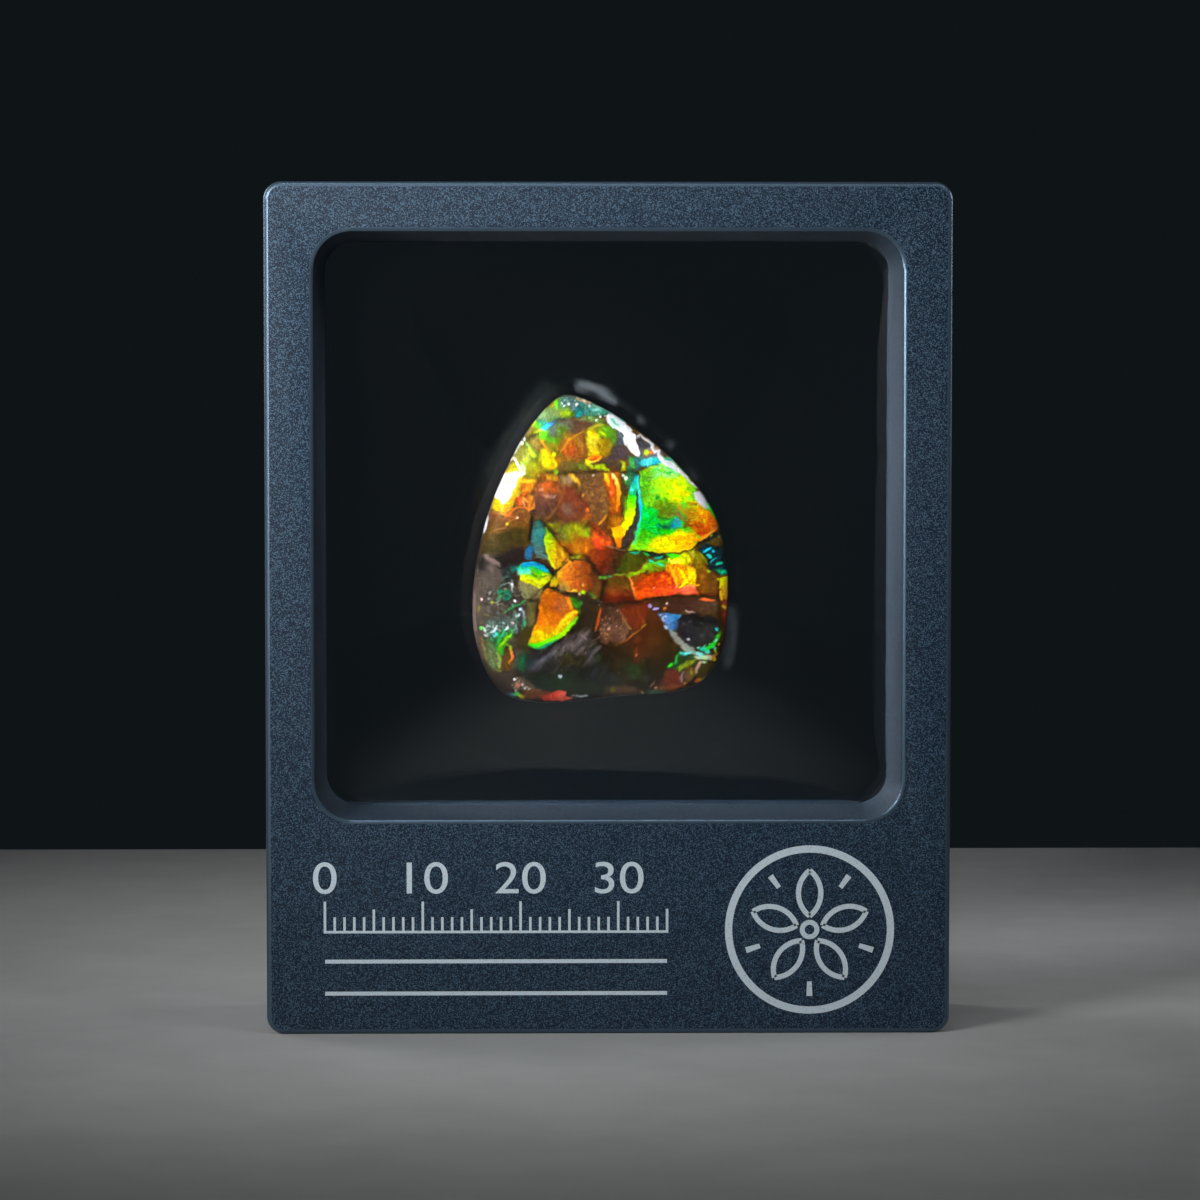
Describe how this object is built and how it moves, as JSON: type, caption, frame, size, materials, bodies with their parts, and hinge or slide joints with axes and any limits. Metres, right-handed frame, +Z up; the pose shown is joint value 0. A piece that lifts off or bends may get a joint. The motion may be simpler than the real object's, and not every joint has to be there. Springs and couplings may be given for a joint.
{
  "type": "ammolite specimen in a hinged floating-film display frame",
  "caption": "Polished teardrop of iridescent fossil shell held in mid-air between two clear films in an upright hinged plastic frame with a label strip.",
  "frame": {"origin": "middle of the foot, on the surface that the frame stands on, in the seam plane between the two halves", "axes": "+X to the right seen from the front, +Y to the rear, +Z up"},
  "size_m": [0.07, 0.02, 0.087],
  "materials": {
    "frame_plastic": "slate-blue ABS with a fine spark-eroded texture",
    "pin_steel": "plain drawn steel wire",
    "clear_film": "clear stretched elastic film, glossy",
    "nacre": "polished iridescent fossil shell in green, gold, orange and red plates on dark shale"
  },
  "bodies": {
    "rear": {"frame_rear": "frame_plastic", "hinge_pin": "pin_steel", "membrane_rear": "clear_film", "ammolite": "nacre"},
    "front": {"frame_front": "frame_plastic", "membrane_front": "clear_film"}
  },
  "joints": [
    {"name": "frame_hinge", "type": "hinge", "parent": "rear", "child": "front", "pos_m": [0, 0, 0.0859], "axis": [-1, 0, 0], "range_deg": [0, 90]}
  ]
}
